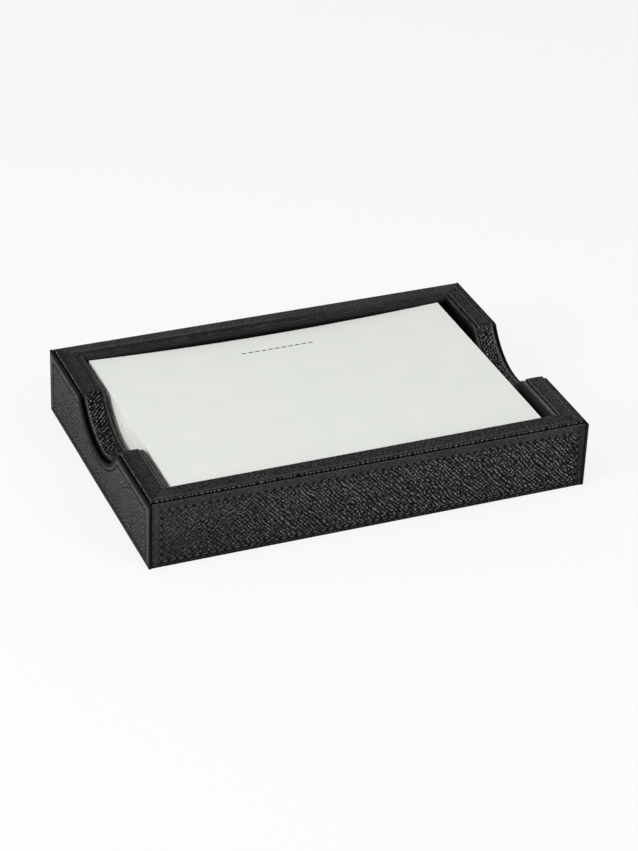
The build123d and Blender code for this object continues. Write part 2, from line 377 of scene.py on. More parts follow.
def add_piece(name, points, faces, material, body, nodes, marks=None, rounded=True):
    """A mesh of points in millimetres, riding on a body in the place of CAD nodes.

    faces is a list of faces, or the number of corners of each face and all corners in a row.
    marks are what the mesh stores for each point: one number or three under a name.
    """
    if isinstance(faces, list):
        faces = [len(face) for face in faces], [corner for face in faces for corner in face]
    sizes, corners = map(np.asarray, faces)
    mesh = bpy.data.meshes.new(name)
    mesh.vertices.add(len(points))
    mesh.vertices.foreach_set("co", (points * MM).ravel())
    mesh.loops.add(len(corners))
    mesh.loops.foreach_set("vertex_index", corners)
    mesh.polygons.add(len(sizes))
    mesh.polygons.foreach_set("loop_start", np.concatenate([[0], np.cumsum(sizes)[:-1]]))
    mesh.polygons.foreach_set("use_smooth", np.full(len(sizes), rounded))
    mesh.update(calc_edges=True)
    mesh.validate()
    for mark, values in (marks or {}).items():
        kind, field = ("FLOAT_VECTOR", "vector") if values.ndim == 2 else ("FLOAT", "value")
        mesh.attributes.new(mark, kind, "POINT").data.foreach_set(field, values.ravel())
    mesh.materials.append(material)
    piece = bpy.data.objects.new(name, mesh)
    bpy.context.scene.collection.objects.link(piece)
    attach(piece, body)
    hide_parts(*nodes)


def loop_faces(rows, columns):
    """Faces of a bar: a closed loop of rows swept along columns, with both ends filled."""
    r, c = np.meshgrid(np.arange(rows), np.arange(columns - 1), indexing="ij")
    here, after = r * columns + c, (r + 1) % rows * columns + c
    quads = np.stack([here, here + 1, after + 1, after], -1).reshape(-1, 4)
    first = np.arange(rows) * columns
    sizes = np.concatenate([np.full(len(quads), 4), [rows, rows]])
    return sizes, np.concatenate([quads.ravel(), first, first[::-1] + columns - 1])


class TopLine:
    """The line along a wall layer's top, with its notch if it has one, as columns.

    start, share and z place each column: a column on a straight run slides with the layer's
    own end, s = start + share * (half - reach). ns and nz point out of the layer, run is the
    length along the line from its middle, and in_notch rises to 1 in the notch.
    """

    def __init__(self, side, half, top, centre, radius, shoulder, step):
        if side not in NOTCHED:
            count = 2 * int(half / step) + 1
            self.reach = 0.0
            self.share = np.linspace(-1, 1, count)
            self.start, self.ns, self.in_notch = np.zeros((3, count))
            self.z, self.nz = np.full(count, top), np.ones(count)
            self.run = self.share * half
            return
        low = centre - (top - shoulder)
        reach = np.sqrt((radius + shoulder) ** 2 - low**2)
        lean = np.arctan2(reach, low)
        straight = np.linspace(0, 1, int((half - reach) / step) + 1)[:0:-1]
        bend = np.linspace(0, lean, max(4, int(shoulder * lean / min(step, 0.25))) + 1)
        sweep = np.linspace(lean, 0, int(radius * lean / step) + 1)[1:]

        def joined(on_straight, on_bend, on_sweep, sign):
            """All columns, from their values on the three parts of the half that ends in the middle."""
            parts = (on_straight + 0 * straight, on_bend + 0 * bend, on_sweep + 0 * sweep)
            values = np.concatenate(parts)
            return np.concatenate([sign * values[:-1], values[-1:], values[:-1][::-1]])

        self.reach = reach
        self.share = joined(straight, 0, 0, -1)
        self.start = joined(reach, reach - shoulder * np.sin(bend), radius * np.sin(sweep), -1)
        self.z = joined(top, top - shoulder + shoulder * np.cos(bend), centre - radius * np.cos(sweep), 1)
        self.ns = joined(0, -np.sin(bend), -np.sin(sweep), -1)
        self.nz = joined(1, np.cos(bend), np.cos(sweep), 1)
        self.in_notch = joined(0, bend / lean * 0.5, 0.5 + 0.5 * smooth(0, 0.1, lean - sweep), 1)
        to_bend = (radius + shoulder) * lean
        self.run = joined(straight * (half - reach) + to_bend, to_bend - shoulder * bend, radius * sweep, -1)


def arc_rows(depth, inwards, radius, first, last, count):
    """Section rows round an edge at a depth, from the angle first to last: 0 is the face, 90 the top."""
    rows = []
    for angle in np.radians(np.linspace(first, last, count)):
        d = depth + inwards * radius * (1 - np.cos(angle))
        rows.append((d, radius * (1 - np.sin(angle)), 0, np.cos(angle) * inwards, np.sin(angle)))
    return rows


def add_bar(name, side, line, parts, half_at, foot, height, material, node):
    """A wall layer: its section swept along its top line, and moved out by a height.

    The section is made of lists of rows (d, below, level, out, up): d is the depth, below the
    distance under the top line, level the share of the way from there down to the foot, and
    out and up the direction that the surface faces.
    """
    rows = np.array([row for part in parts for row in part])
    d, below, level, out, up = (np.repeat(column[:, None], len(line.z), 1) for column in rows.T)
    s = line.start + line.share * (half_at(d) - line.reach) - line.ns * below
    z = line.z - line.nz * below
    z = z + (foot - z) * level
    grid = {"s": s, "z": z, "d": d, "below": below, "level": level, "out": out, "up": up}
    for key, values in (("run", line.run), ("notch", line.in_notch)):
        grid[key] = np.repeat(values[None], len(rows), 0)
    lift, wear_and_highlight, shade_and_tone, place = height(grid)
    s = s + line.ns * up * lift
    z = z + line.nz * up * lift
    points = wall_points(side, s, d - out * lift, z).reshape(-1, 3)
    marks = {"wear_and_highlight": np.clip(wear_and_highlight, 0, 1), "shade_and_tone": np.clip(shade_and_tone, 0, 1)}
    marks = {mark: values.ravel() for mark, values in marks.items()}
    marks["leather_place"] = np.stack(place, -1).reshape(-1, 3)
    faces = loop_faces(len(rows), len(line.z))
    add_piece(name, points, faces, material, "tray", [node], marks)


# What differs from side to side, read from the photo

# Painted shade of the thread, from black at 0 to grey at 1, dark on the side panels that the left lamp
# lights more, and its radius
THREAD_SHADE = {"front": 0.9, "right": 0.0, "back": 0.9, "left": 0.0}
THREAD_RADIUS = {"front": 0.27, "right": 0.36, "back": 0.27, "left": 0.36}
# How rubbed the edge of each panel is, with a painted highlight that differs from side to side
EDGE_WEAR_AND_HIGHLIGHT = {"front": 0.07, "right": 0.2, "back": 0.2, "left": 0.02}
# Knobs along the outer edge of each rim: place across the edge, width, sharpness, painted highlight and
# strength
BEAD_AT = {"front": -0.15, "right": 0.4, "back": 0.35, "left": 0.0}
KNOB_WIDTH = {"front": 0.58, "right": 0.75, "back": 0.75, "left": 0.75}
KNOB_POWER = {"front": 1.8, "right": 1.0, "back": 1.0, "left": 1.0}
KNOB_HIGHLIGHT = {"front": 1.75, "right": 1.25, "back": 1.25, "left": 1.4}
BEADED = {"front": 1.0, "right": 0.4, "back": 0.35, "left": 1.0}
# Rims: crease near the outer edge, depth of the grain, and the wear and painted highlight of the inner edge
# and of the top
OUTER_CREASE = {"front": 0.0, "right": 0.95, "back": 0.2, "left": 0.7}
PRESS = {"front": 0.11, "right": 0.1, "back": 0.08, "left": 0.05}
INNER_WEAR_AND_HIGHLIGHT = {"front": 0.3, "right": 0.5, "back": 0.0, "left": 0.5}
RUBBED_AND_LIT = {"front": 0.015, "right": 0.035, "back": 0.06, "left": 0.0}
# Linings: painted shine of the ridge, what its end nearer the camera adds, and where the painted shade of
# the lower part starts and ends
RIDGE = {"front": 0.15, "right": 0.35, "back": 0.55, "left": 0.35}
NEAR_RIDGE = {"front": 0.0, "right": 0.25, "back": 0.0, "left": 0.15}
SHADED = {"front": (0.0, 5.0), "right": (0.0, 9.0), "back": (0.6, 2.4), "left": (0.0, 3.0)}


def nearer(side, run):
    """0 along the far half of a side wall and 1 along the half nearer to the photo's camera."""
    return smooth(8, -12, run) if side == "right" else smooth(-8, 12, run)


# Stitching lines

# From a panel's start, end, foot and top to its stitch line, without and with a notch
STITCH_MARGINS = {False: (3.9, 2.8, 2.4, 3.6), True: (4.1, 4.1, 2.4, 4.6)}
NOTCH_STITCH_RADIUS = NOTCH_RADIUS + 3.0


def stitch_frame(side):
    """Corners of a panel's stitch line: s at its start and end, z at its foot and top."""
    start, end, foot, top = STITCH_MARGINS[side in NOTCHED]
    return start - panel_half(side), panel_half(side) - end, foot, PANEL_TOP - top


def stitch_distance(side, s, z):
    """How far a point of the panel is outside its stitch line; less than 0 is inside."""
    start, end, foot, top = stitch_frame(side)
    across = np.maximum(start - s, s - end)
    upright = np.maximum(foot - z, z - top)
    outside = np.hypot(np.maximum(across, 0), np.maximum(upright, 0))
    distance = outside + np.minimum(np.maximum(across, upright), 0)
    if side in NOTCHED:
        distance = np.maximum(distance, NOTCH_STITCH_RADIUS - np.hypot(s, z - PANEL_NOTCH_CENTRE))
    return distance


def stitch_places(side):
    """Middle and direction in degrees of each stitch, as rows of (s, z, turn)."""
    start, end, foot, top = stitch_frame(side)
    places = []

    def row(first, last):
        run = np.subtract(last, first)
        count = max(1, round(float(np.hypot(*run)) / STITCH_PITCH))
        turn = np.degrees(np.arctan2(run[1], run[0])) + STITCH_SLANT
        for number in range(count):
            s, z = np.add(first, run * ((number + 0.5) / count))
            places.append((s, z, turn))

    row((start, foot), (end, foot))
    row((start, top), (start, foot))
    row((end, foot), (end, top))
    if side not in NOTCHED:
        row((start, top), (end, top))
        return places
    radius = NOTCH_STITCH_RADIUS
    reach = np.sqrt(radius**2 - (PANEL_NOTCH_CENTRE - top) ** 2)
    row((start, top), (-reach, top))
    row((reach, top), (end, top))
    half_angle = np.arcsin(reach / radius)
    count = max(1, round(float(2 * radius * half_angle) / STITCH_PITCH))
    for number in range(count):
        angle = half_angle * (2 * (number + 0.5) / count - 1)
        s, z = radius * np.sin(angle), PANEL_NOTCH_CENTRE - radius * np.cos(angle)
        places.append((s, z, np.degrees(angle) + STITCH_SLANT))
    return places


def stitch_ends(side):
    """The holes that the thread goes into, at both ends of each stitch."""
    holes = []
    for s, z, turn in stitch_places(side):
        ds, dz = np.array([np.cos(np.radians(turn)), np.sin(np.radians(turn))]) * STITCH_LENGTH / 2
        holes += [(s - ds, z - dz), (s + ds, z + dz)]
    return holes


def add_thread(side, seed):
    """All the stitches of a panel: short bowed lengths of two-ply thread, ends sunk."""
    rng = np.random.RandomState(seed)
    steps, around = 11, 10
    two_ply, sink = 0.17, 0.45
    t = np.linspace(-1, 1, steps)
    angles = np.arange(around) * 2 * np.pi / around
    radius = THREAD_RADIUS[side]
    share = 0.9 if side in NOTCHED else 1
    points, faces, base = [], [], 0
    for s, z, turn in stitch_places(side):
        turn = np.radians(turn + rng.uniform(-3, 3))
        along = STITCH_LENGTH / 2 * rng.uniform(0.94, 1.0) * share * t[:, None]
        crown = rng.uniform(0.0, 0.05)
        middle_d = radius * (1 + two_ply) + 0.01 + crown + sink * np.abs(t) ** 3.2
        thick = radius * (1 - 0.35 * np.abs(t) ** 4)
        twist = 2 * np.pi * (0.9 * t) + rng.uniform(0, 6.28)
        thick = thick[:, None] * (1 + two_ply * np.cos(2 * (angles[None] - twist[:, None])))
        side_off = thick * np.cos(angles)[None]
        ps = s + np.cos(turn) * along - np.sin(turn) * side_off
        pz = z + np.sin(turn) * along + np.cos(turn) * side_off
        pd = middle_d[:, None] - thick * np.sin(angles)[None]
        points.append(wall_points(side, ps, pd, pz).reshape(-1, 3))
        for i in range(steps - 1):
            for j in range(around):
                here, after = base + i * around + j, base + i * around + (j + 1) % around
                faces.append([here, after, after + around, here + around])
        faces.append([base + j for j in range(around)][::-1])
        faces.append([base + (steps - 1) * around + j for j in range(around)])
        base += steps * around
    points = np.concatenate(points)
    marks = {"shade_tone": np.full(len(points), THREAD_SHADE[side])}
    add_piece(f"{side}_thread", points, faces, thread, "tray", [f"{side}_stitching"], marks)


# Outer panels


def panel_height(side, seed):
    """Surface of a panel: smooth margins, a sunk stitch line and pressed grain inside it."""
    noise, other = Noise(seed), Noise(seed + 1)
    holes = stitch_ends(side)
    hole_radius, hole_reach = 0.5, 1.0
    line_foot = stitch_frame(side)[2]
    notched = side in NOTCHED

    def height(grid):
        s, z, d = grid["s"], grid["z"], grid["d"]
        seen = smooth(-0.2, 0.9, grid["out"]) * (d < 0.75)
        d_line = stitch_distance(side, s, z)
        soft = noise.layers(s / 1.3, z / 1.3, 2)

        # Grain and its depth: fainter at the left end of the front and in patches on the sides
        if notched:
            grain = crossgrain(s, z, 41, -38, 0.45, 1.42, noise, 1.5, 1.2)
            amount = 0.16 * smooth(-0.9, 0.8, other(s / 13, z / 9) + 0.5 * noise(s / 4, z / 3))
            crisp = 0.0
        else:
            rightward = s if side == "front" else -s
            turned = smooth(-95, -30, rightward)
            grain = crossgrain(s, z, -48, 40, 0.95 - 0.6 * turned, 1.36, noise, 1.3 - 0.3 * turned)
            patches = smooth(0.0, 0.6, other(s / 9 + 5, z / 6) + 0.04 * (z - 18))
            amount = 0.3 * (0.85 + 0.2 * other(s / 23, z / 14)) * (0.45 + 0.55 * turned)
            amount = amount * (1 - 0.6 * (1 - turned) * patches)
            crisp = smooth(-60, 45, rightward)
        strength = np.clip(amount / 0.24, 0, 1)

        # Where the grain is, the sunk line of the stitches and their holes
        field = smooth(0.5, -0.9, d_line)
        under_line = smooth(line_foot + 0.5, line_foot - 0.8, z)
        inside = np.maximum(field, 0.4 * under_line) * (1 - 0.9 * dip(d_line, 1.25))
        seam = dip(d_line + (0.0 if notched else 0.1), 0.85)
        pits = np.zeros_like(s)
        for hs, hz in holes:
            low, high = np.searchsorted(s[0], (hs - hole_reach, hs + hole_reach))
            away = np.hypot(s[:, low:high] - hs, z[:, low:high] - hz)
            pits[:, low:high] += np.exp(-((away / hole_radius) ** 2))
        pits = np.minimum(pits, 1)

        lift = inside * amount * (grain - 1) + (1 - inside) * 0.02 * (soft - 1)
        lift = lift - 0.03 * (1 + other(s / 12, z / 9)) * inside
        lift = lift - 0.26 * seam - 0.04 * inside - 0.3 * pits
        lift = np.minimum(lift, 0) * seen

        # Painted shade and tone: 0 where shade is painted in the pits of the grain, the seam, the holes and
        # the panel's shaded parts, with random tone in the margins
        pit_shade = smooth(0.62 + 0.04 * crisp, 0.18 + 0.14 * crisp, grain)
        shade_and_tone = np.clip(1 - 1.7 * inside * strength * pit_shade, 0, 1) ** (2.2 + 0.6 * crisp)
        if notched:
            shade_and_tone = shade_and_tone * (1 - 0.36 * field)
        fine = noise(s, z / 0.8)
        shade_and_tone = shade_and_tone * (1 - 0.6 * (1 - inside) * smooth(0.0, 0.6, fine))
        # Painted shade along the foot of each panel, strongest on the front
        foot = (0.65 if side == "front" else 0.25) * smooth(3.4, 1.6, z)
        shade_and_tone = shade_and_tone * (1 - foot) * (0.9 + 0.1 * inside) + 0.12 * soft * (1 - inside)
        sunk, holed = (0.4, 0.3) if notched else (0.75, 0.95)
        shade_and_tone = shade_and_tone * (1 - sunk * seam) * (1 - holed * pits)
        # Painted light: a faint brightening that rises with z, and on the side panels a light line just
        # inside the stitch line
        glow = (0.052 if notched else 0.006) * np.clip((z - 4) / 18, 0, 1.1)
        shade = 0
        if notched:
            # Painted shade along the top edge and round the notch, where the rim wrap shades the panel
            under_rim = np.hypot(s, z - PANEL_NOTCH_CENTRE) - NOTCH_RADIUS
            shade = 0.92 * smooth(2.2, 0.9, np.minimum(PANEL_TOP - z, under_rim))
            glow = glow + 0.02 * dip(d_line + 1.3, 0.9)
            shade_and_tone = shade_and_tone * (1 - shade)
        elif side == "front":
            # Painted shade: darker towards the foot of the front, and darker near its right end
            shade_and_tone = shade_and_tone * (1 - 0.3 * smooth(88, 91.5, s)) * (1 - 0.3 * smooth(26, 4, z))
        shade_and_tone = 1 + seen * (shade_and_tone - 1)
        shade_and_tone = shade_and_tone * (1 - smooth(0.1, 0.65, d))

        # Wear and painted highlights: the rubbed edge with a painted highlight on it, painted highlights on
        # the tops of the grain, painted light that rises with z, and random pale flecks in the margins
        edge = smooth(0.95, 0.4, grid["out"]) * smooth(0.8, 0.4, d)
        ripple = noise(grid["run"] / 1.1, z / 2)
        tops = smooth(0.54, 0.96, grain) ** 1.5
        wear_and_highlight = edge * EDGE_WEAR_AND_HIGHLIGHT[side] * (1 + 0.6 * ripple)
        wear_and_highlight = wear_and_highlight + (0.58 + 0.2 * crisp) * seen * inside * strength * tops
        wear_and_highlight = wear_and_highlight + seen * (glow + 0.06 * (1 - inside) * smooth(0.0, 0.6, -fine))
        wear_and_highlight = wear_and_highlight * (1 - shade) * (1 - 0.7 * seam)
        if side == "front":
            # Painted highlight: a light line near the left end of the front
            wear_and_highlight = wear_and_highlight + 0.07 * seen * dip(s + 93.3, 0.4)
        return lift, wear_and_highlight, shade_and_tone, (grid["run"], z + 3 * grid["up"], d)

    return height


def add_panel(side, seed):
    """One outer panel, with rounded edges."""
    half = panel_half(side)
    line = TopLine(side, half, PANEL_TOP, PANEL_NOTCH_CENTRE, NOTCH_RADIUS,
                   PANEL_SHOULDER_RADIUS, step=0.28)
    edge, back_edge, foot_edge = 0.5, 0.95, 0.3
    parts = [
        [(PANEL_THICKNESS - 0.2, edge, 1, 0, 0), (foot_edge, edge, 1, 0, 0)],
        [(0.1, edge, 1 - 0.004, 0.7, 0), (0.0, edge, 1 - 0.012, 1, 0)],
        [(0.0, edge, level, 1, 0) for level in np.linspace(1, 0, 104)[1:]],
        arc_rows(0, 1, edge, 12, 90, 8),
        arc_rows(PANEL_THICKNESS, -1, back_edge, 90, 0, 6),
        [(PANEL_THICKNESS, back_edge, level, -1, 0) for level in (0.1, 0.985)],
    ]
    add_bar(f"{side}_panel_skin", side, line, parts, lambda d: half, 0.0, panel_height(side, seed),
            panel_leather, f"{side}_panel")


# Rim wraps


def wrap_line(side):
    """The top line of a rim wrap."""
    half = wall_length(side) / 2 - WRAP_OUTSIDE
    return TopLine(side, half, TRAY_HEIGHT, NOTCH_CENTRE, NOTCH_RADIUS, shoulder=0.3, step=0.28)


def wrap_height(side, seed):
    """Surface of a rim wrap: creased near both edges, beaded outside, grained in the notch."""
    noise, other = Noise(seed), Noise(seed + 1)
    two_rows = 1.0 if side in ("back", "right") else 0.0
    if side in NOTCHED:
        line = wrap_line(side)
        shoulder_run = line.run[np.argmin(np.abs(line.in_notch - 0.25) + (line.start < 0))]

    def height(grid):
        run, d, up, notch = grid["run"], grid["d"], grid["up"], grid["notch"]
        flat = 1 - notch
        from_out, from_in = d - WRAP_OUTSIDE, WRAP_INSIDE - d
        wander = 0.12 * noise(run / 14, 0.5) + 0.05 * noise(run / 3, 7.5)
        soft = noise.layers(run / 3.2, d / 2.0, 3)

        # Pressed grain on top, and the coarser grain of the notch floor
        press = crossgrain(run, d, 51 if side == "front" else 14, -40, 0.6, 1.6, noise, 1.4)
        amount = PRESS[side] * smooth(-0.5, 0.6, soft + 0.4)
        pressed = np.clip(amount / 0.09, 0, 1) * flat
        if side == "left":
            floor = crossgrain(run, d, -48, 32, 0.2, 1.15, other, 1.1, 0.5)
        else:
            floor = crossgrain(run, d, -50, -15, 0.4, 1.2, other, 0.9, 1.3)

        # Creases near both edges, with rungs across the inner one
        outer = OUTER_CREASE[side] * dip(from_out - 1.45 - wander, 0.6)
        inner = dip(from_in - 1.15 - wander, 0.4) * (1 - two_rows * flat)
        turn = 2 * np.pi * ((run + 0.4 * d) / 2.1 + 0.5 * noise(run / 4, 9.1))
        if side == "back":
            rungs = smooth(-0.3, 0.6, np.sin(turn)) * dip(from_in - 0.4, 0.65)
            rungs = rungs + smooth(-0.3, 0.6, np.sin(turn + 2.4)) * dip(from_in - 1.35 - wander, 0.6)
            ladder = smooth(2.1, 1.7, from_in + wander) * smooth(-0.1, 0.3, from_in)
            ladder = ladder * (0.3 + 0.7 * smooth(-45, 0, run))
        else:
            rungs = smooth(-0.6, 0.7, np.sin(turn))
            ladder = dip(from_in - 1.3 - wander, 0.5) * (0.45 + 0.4 * smooth(8, -12, run))
        ladder = ladder * two_rows * flat

        # Knobs along the outer edge
        round_edge = 0.65 * np.arcsin(np.clip(up, -1, 1)) + np.maximum(from_out - 0.75, 0)
        round_edge = np.where(from_out < 3, round_edge, 3)
        bead = 0.5 + 0.5 * np.sin(2 * np.pi * (run / 1.9 + 0.7 * noise(run / 4.5, 3.3)))
        bead = bead ** KNOB_POWER[side] * np.clip(0.95 + 0.9 * noise(run / 3.1, 1.7), 0.35, 1)
        on_bead = dip(round_edge - BEAD_AT[side], KNOB_WIDTH[side]) * bead
        beaded = BEADED[side] * dip(round_edge - BEAD_AT[side], 1.0) * flat
        # A cut across the rim at the shoulders of the notch
        seam = dip(np.abs(run) - shoulder_run, 0.5) if side in NOTCHED else 0

        lift = 0.03 * (soft - 1) - 0.14 * outer - 0.12 * inner * (1 - 0.4 * notch)
        lift = lift - 0.2 * (beaded - on_bead * BEADED[side] * flat) - amount * (1 - press)
        lift = lift - 0.12 * (0.4 + 0.6 * rungs) * ladder
        lift = lift + notch * 0.4 * (floor - 1) - 0.3 * seam
        lift = lift * smooth(-0.9, 0.0, up)

        # Painted shade and tone: 0 where shade is painted in creases, pits and gaps, between the knobs,
        # along the notch's outer edge and on the part turned under
        under = smooth(-0.95, -0.4, up)
        shade_and_tone = (1 - 0.6 * outer) * (1 - 0.7 * inner * (1 - 0.3 * notch))
        shade_and_tone = shade_and_tone * np.clip(1 - 1.1 * beaded + 0.9 * on_bead, 0, 1) ** 2
        shade_and_tone = shade_and_tone * (1 - 0.75 * seam) * (1 - ladder * np.clip(0.12 + 1.2 * rungs, 0, 0.97))
        shade_and_tone = shade_and_tone * (1 - 0.85 * notch * smooth(1.0, 0.5, from_out))
        if side == "left":
            shade_and_tone = shade_and_tone * (1 - 0.25 * smooth(5, 1.5, from_out) * flat)
        shade_and_tone = shade_and_tone * np.clip(1 - 1.1 * pressed * smooth(0.56, 0.1, press), 0, 1) ** 2.2
        shade_and_tone = shade_and_tone * np.clip(1 - 1.8 * notch * smooth(0.8, 0.3, floor), 0, 1) ** 2.2
        shade_and_tone = shade_and_tone * under

        # Wear and painted highlights: painted highlights that rise along the edges, on the knobs and on the
        # tops of both grains, and wear with painted light on the top, stronger on the near half of the side
        # rims
        rise = dip(from_in - 0.6, 0.35) * INNER_WEAR_AND_HIGHLIGHT[side]
        if side == "front":
            rise = rise + 0.12 * dip(from_out - 1.3, 1.1)
        elif side == "back":
            rise = rise + 0.12 * dip(from_in - 2.7, 0.7) * smooth(-30, 10, run)
        elif side == "right":
            rise = rise + 0.18 * dip(round_edge - 0.7, 0.6) + 0.3 * dip(from_out - 2.3 - wander, 0.4)
        else:
            rise = rise * nearer(side, run)
        wear_and_highlight = KNOB_HIGHLIGHT[side] * on_bead ** 1.2 * BEADED[side] * flat
        wear_and_highlight = wear_and_highlight + rise * (1 - 0.6 * notch) * (0.7 + 0.5 * noise(run / 3, d))
        wear_and_highlight = wear_and_highlight + 1.3 * notch * smooth(0.56, 0.95, floor) ** 1.5 * smooth(1.2, 1.6, from_out)
        wear_and_highlight = wear_and_highlight + flat * RUBBED_AND_LIT[side] * (nearer(side, run) if side == "right" else 1)
        knobs = 0.65 + 0.6 * noise(run / 0.8, 4.2)
        wear_and_highlight = wear_and_highlight + 0.75 * notch * dip(from_out - 1.25, 0.55) * knobs
        wear_and_highlight = wear_and_highlight + 0.2 * pressed * smooth(0.54, 0.96, press) ** 1.5
        wear_and_highlight = wear_and_highlight * under * (1 - 0.8 * ladder)
        return lift, wear_and_highlight, shade_and_tone, (run, d + 2 * (1 - up), grid["z"] * 0.3)

    return height


def add_wrap(side, seed):
    """One rim wrap: over the top of the core and down both of its sides."""
    end = wall_length(side) / 2
    edge, undercut, inside_edge = 0.65, 0.5, 0.5
    across = np.linspace(WRAP_OUTSIDE + edge, WRAP_INSIDE - inside_edge, 34)[1:-1]
    core_out, core_in = WRAP_OUTSIDE + WRAP_THICKNESS, WRAP_INSIDE - WRAP_THICKNESS
    parts = [
        [(WRAP_OUTSIDE + undercut, 2 * edge, 1, 1, 0), (WRAP_OUTSIDE + undercut, 2.2 * edge, 0.03, 1, 0)],
        arc_rows(WRAP_OUTSIDE + 0.1, 1, edge, -65, 90, 12),
        [(d, 0, 0, 0, 1) for d in across],
        arc_rows(WRAP_INSIDE, -1, inside_edge, 90, 0, 6),
        [(WRAP_INSIDE, inside_edge, level, -1, 0) for level in (0.06, 1)],
        [(core_in, WRAP_THICKNESS, level, 0, 0) for level in (1, 0)],
        [(core_out, WRAP_THICKNESS, level, 0, 0) for level in (0, 1)],
    ]
    add_bar(f"{side}_rim_skin", side, wrap_line(side), parts, lambda d: end - d, WALL_FOOT,
            wrap_height(side, seed), rim_leather, f"{side}_rim_wrap")


# Linings


def lining_height(side, seed):
    """Surface of a lining: nearly smooth, with a faint crease under its rounded top."""
    noise = Noise(seed)
    ridge_depth = 2.0 if side == "back" else 1.3
    tucked = 0.3 if side == "back" else 1

    def height(grid):
        run, d, z, up = grid["run"], grid["d"], grid["z"], grid["up"]
        soft = noise.layers(run / 5, (z - d) / 3, 3)
        press = crossgrain(run, z - d, 40, -40, 0.6, 1.5, noise, 1.4)
        crease = dip(d - WRAP_INSIDE - 0.2 - 0.08 * noise(run / 9, 2.5), 0.35) * smooth(0.5, 0.9, up)
        ridge = dip(d - LINING_INSIDE + ridge_depth, 1.1) * smooth(0.2, 0.6, up)
        # Painted shade down the inner face, darkest towards the cards, and sooner along the far half of the
        # right lining
        depth = grid["below"] + grid["level"] * 20
        deep = smooth(*SHADED[side], depth)
        if side == "right":
            deep = np.maximum(deep, (1 - nearer(side, run)) * smooth(0.0, 3.0, depth))

        lift = 0.03 * (soft - 1) - 0.08 * crease - 0.03 * (1 - press)
        lift = lift * smooth(-0.1, 0.3, up + np.maximum(-grid["out"], 0))
        lift = lift * (grid["below"] < LINING_THICKNESS)
        # Painted shade in the crease, beside the rim wrap and on the lower part of the inner face
        shade_and_tone = (1 - 0.7 * tucked * crease) * (1 - 0.4 * (1 - press))
        shade_and_tone = shade_and_tone * (1 - tucked * smooth(0.5, 0.0, d - WRAP_INSIDE)) * (1 - 0.95 * deep)
        # Painted highlights: a shine on the ridge, more at the end nearer the camera, a lighter near half on
        # the right, and a lighter inner edge of the top on the back
        wear_and_highlight = (RIDGE[side] + NEAR_RIDGE[side] * nearer(side, run)) * ridge * (0.85 + 0.4 * soft)
        if side == "right":
            wear_and_highlight = wear_and_highlight + 0.13 * nearer(side, run) * (1 - deep)
        elif side == "back":
            wear_and_highlight = wear_and_highlight + 0.09 * smooth(1.0, 0.5, LINING_INSIDE - d) * (1 - deep)
        return lift, wear_and_highlight, shade_and_tone, (run, z - d, grid["notch"])

    return height


def add_lining(side, seed):
    """One lining: up the inner face, over the top of its board."""
    end = wall_length(side) / 2
    top = TRAY_HEIGHT - (FRONT_LINING_DROP if side == "front" else LINING_DROP)
    line = TopLine(side, end - WRAP_INSIDE, top, LINING_NOTCH_CENTRE, NOTCH_RADIUS,
                   LINING_SHOULDER_RADIUS, step=0.35)
    edge, ridge = 0.5, 0.75
    across = np.linspace(WRAP_INSIDE + edge, LINING_INSIDE - ridge, 9)[1:-1]
    parts = [
        [(WRAP_INSIDE, LINING_THICKNESS, 0, 0, 0)],
        arc_rows(WRAP_INSIDE, 1, edge, 0, 90, 6),
        [(d, 0, 0, 0, 1) for d in across],
        arc_rows(LINING_INSIDE, -1, ridge, 90, 0, 8),
        [(LINING_INSIDE, ridge, level, -1, 0) for level in np.linspace(0.02, 1, 40)],
        [(BOARD_INSIDE, LINING_THICKNESS, level, 0, 0) for level in (1, 0)],
    ]
    add_bar(f"{side}_lining_skin", side, line, parts, lambda d: end - d, FLOOR_TOP,
            lining_height(side, seed), lining_leather, f"{side}_lining")


for number, side in enumerate(SIDES):
    add_panel(side, 11 + 10 * number)
    add_thread(side, 101 + number)
    add_wrap(side, 211 + 10 * number)
    add_lining(side, 311 + 10 * number)


# Flat sheets under and inside the tray


